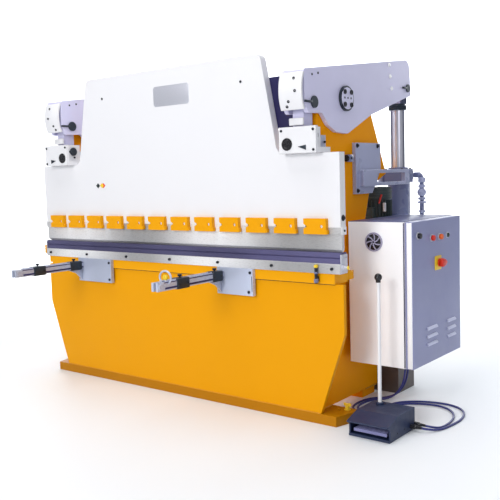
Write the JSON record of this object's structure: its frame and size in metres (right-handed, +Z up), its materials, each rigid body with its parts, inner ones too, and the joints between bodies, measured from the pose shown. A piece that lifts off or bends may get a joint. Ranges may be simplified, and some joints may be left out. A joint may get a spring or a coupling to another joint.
{
  "type": "press brake",
  "caption": "Hydraulic lever-type press brake with a sliding ram, twin levers, four-way die, front support arms, side control cabinet and corded foot pedal.",
  "frame": {"origin": "on the floor at the middle of the machine, under the bending line, on the underside of the base plate", "axes": "+X along the bending line to the cabinet side, +Y to the back of the machine, +Z up"},
  "size_m": [2.9725, 1.8812, 2.0924],
  "materials": {
    "frame_paint": "satin enamel",
    "apron_paint": "satin enamel",
    "flange_paint": "satin enamel",
    "clamp_paint": "satin enamel",
    "ram_paint": "gloss enamel",
    "tool_steel": "ground along the length",
    "die_steel": "blued and ground",
    "lever_paint": "hammered grey-blue enamel",
    "pin_steel": "turned",
    "rod_chrome": "polished",
    "barrel_paint": "satin enamel",
    "yoke_paint": "satin enamel",
    "cabinet_paint": "fine-textured powder coat",
    "door_paint": "fine-textured powder coat",
    "gear_plastic": "matt",
    "tank_paint": "satin enamel",
    "motor_paint": "satin enamel",
    "fastener_steel": "blackened",
    "jack_paint": "enamel",
    "black_plastic": "gloss",
    "red_plastic": "gloss",
    "orange_plastic": "gloss",
    "pedal_paint": "hammered enamel",
    "pole_paint": "gloss enamel",
    "cable_sheath": "matt",
    "arm_steel": "machined"
  },
  "bodies": {
    "frame": {"base_plate": "apron_paint", "rear_base_bar": "frame_paint", "levelling_bolts": "jack_paint", "left_side_frame": "frame_paint", "right_side_frame": "frame_paint", "tie_tubes": "frame_paint", "front_apron": "apron_paint", "bed_rear_plate": "frame_paint", "table_flange": "flange_paint", "die_holder": "tool_steel", "die_screws": "fastener_steel", "die_block": "die_steel", "table_pegs": "fastener_steel", "guide_gibs": "pin_steel", "cabinet_shell": "cabinet_paint", "cabinet_brackets": "frame_paint", "control_gear": "gear_plastic", "fan_grille": "black_plastic", "oil_tank": "tank_paint", "pump_motor": "motor_paint", "valve_block": "pin_steel", "pressure_pipes": "barrel_paint", "cylinder_yokes": "yoke_paint", "left_cylinder_barrel": "barrel_paint", "right_cylinder_barrel": "barrel_paint", "gauge_rods": "rod_chrome", "support_brackets": "arm_steel", "pedal_base": "pedal_paint", "pedal_hood": "pedal_paint", "pedal_pole": "pole_paint", "pole_knob": "black_plastic", "inner_pedal_cable": "cable_sheath", "outer_pedal_cable": "cable_sheath", "cable_glands": "black_plastic"},
    "ram": {"ram_plate": "ram_paint", "punch_holder": "tool_steel", "punch": "tool_steel", "punch_clamps": "clamp_paint", "ram_clevises": "ram_paint", "ram_pins": "pin_steel", "ram_guide_shoes": "ram_paint"},
    "left_lever": {"left_lever_plates": "lever_paint", "left_lever_spacers": "lever_paint", "left_lever_pins": "pin_steel"},
    "left_link": {"left_link": "lever_paint"},
    "left_rod": {"left_piston_rod": "rod_chrome"},
    "right_lever": {"right_lever_plates": "lever_paint", "right_lever_spacers": "lever_paint", "right_lever_pins": "pin_steel"},
    "right_link": {"right_link": "lever_paint"},
    "right_rod": {"right_piston_rod": "rod_chrome"},
    "door": {"cabinet_door": "door_paint"},
    "black_button": {"black_button": "black_plastic"},
    "red_button": {"red_button": "red_plastic"},
    "orange_button": {"orange_button": "orange_plastic"},
    "mains_switch": {"mains_switch": "red_plastic"},
    "pedal_tread": {"pedal_tread": "pedal_paint"},
    "left_arm": {"left_support_arm": "arm_steel"},
    "right_arm": {"right_support_arm": "arm_steel"},
    "back_gauge": {"gauge_beam": "arm_steel"}
  },
  "joints": [
    {"name": "ram_slide", "type": "slide", "parent": "frame", "child": "ram", "axis": [0, 0, 1], "range_m": [0, 0.1]},
    {"name": "left_lever_swing", "type": "hinge", "parent": "frame", "child": "left_lever", "pos_m": [-1.01, 0.325, 1.803], "axis": [-1, 0, 0], "range_deg": [0, 17.61]},
    {"name": "left_link_swing", "type": "hinge", "parent": "left_lever", "child": "left_link", "pos_m": [-1.01, 0, 1.766], "axis": [1, 0, 0], "range_deg": [0, 17.61]},
    {"name": "left_rod_slide", "type": "slide", "parent": "frame", "child": "left_rod", "axis": [0, 0, -1], "range_m": [0, 0.2412]},
    {"name": "right_lever_swing", "type": "hinge", "parent": "frame", "child": "right_lever", "pos_m": [1.01, 0.325, 1.803], "axis": [-1, 0, 0], "range_deg": [0, 17.61]},
    {"name": "right_link_swing", "type": "hinge", "parent": "right_lever", "child": "right_link", "pos_m": [1.01, 0, 1.766], "axis": [1, 0, 0], "range_deg": [0, 17.61]},
    {"name": "right_rod_slide", "type": "slide", "parent": "frame", "child": "right_rod", "axis": [0, 0, -1], "range_m": [0, 0.2412]},
    {"name": "door_swing", "type": "hinge", "parent": "frame", "child": "door", "pos_m": [1.457, 0.954, 0.7], "axis": [0, 0, 1], "range_deg": [0, 110]},
    {"name": "black_push", "type": "slide", "parent": "door", "child": "black_button", "axis": [-1, 0, 0], "range_m": [0, 0.005], "stiffness_N_per_m": 600, "springref_m": -0.004},
    {"name": "red_push", "type": "slide", "parent": "door", "child": "red_button", "axis": [-1, 0, 0], "range_m": [0, 0.005], "stiffness_N_per_m": 600, "springref_m": -0.004},
    {"name": "orange_push", "type": "slide", "parent": "door", "child": "orange_button", "axis": [-1, 0, 0], "range_m": [0, 0.005], "stiffness_N_per_m": 600, "springref_m": -0.004},
    {"name": "mains_turn", "type": "hinge", "parent": "door", "child": "mains_switch", "pos_m": [1.503, 0.637, 0.852], "axis": [1, 0, 0], "range_deg": [0, 90]},
    {"name": "tread_press", "type": "hinge", "parent": "frame", "child": "pedal_tread", "pos_m": [1.435, 0.14, 0.034], "axis": [1, 0, 0], "range_deg": [0, 3], "stiffness_Nm_per_rad": 60, "springref_deg": -9.17},
    {"name": "left_arm_height", "type": "slide", "parent": "frame", "child": "left_arm", "axis": [0, 0, 1], "range_m": [-0.02, 0.02]},
    {"name": "right_arm_height", "type": "slide", "parent": "frame", "child": "right_arm", "axis": [0, 0, 1], "range_m": [-0.02, 0.02]},
    {"name": "gauge_slide", "type": "slide", "parent": "frame", "child": "back_gauge", "axis": [0, 1, 0], "range_m": [-0.2, 0.15]}
  ],
  "couplings": [
    {"joint": "left_lever_swing", "follows": "ram_slide", "rad_per_m": 3.0717},
    {"joint": "left_link_swing", "follows": "ram_slide", "rad_per_m": 3.0717},
    {"joint": "left_rod_slide", "follows": "ram_slide", "ratio": 2.4109},
    {"joint": "right_lever_swing", "follows": "ram_slide", "rad_per_m": 3.0717},
    {"joint": "right_link_swing", "follows": "ram_slide", "rad_per_m": 3.0717},
    {"joint": "right_rod_slide", "follows": "ram_slide", "ratio": 2.4109}
  ]
}
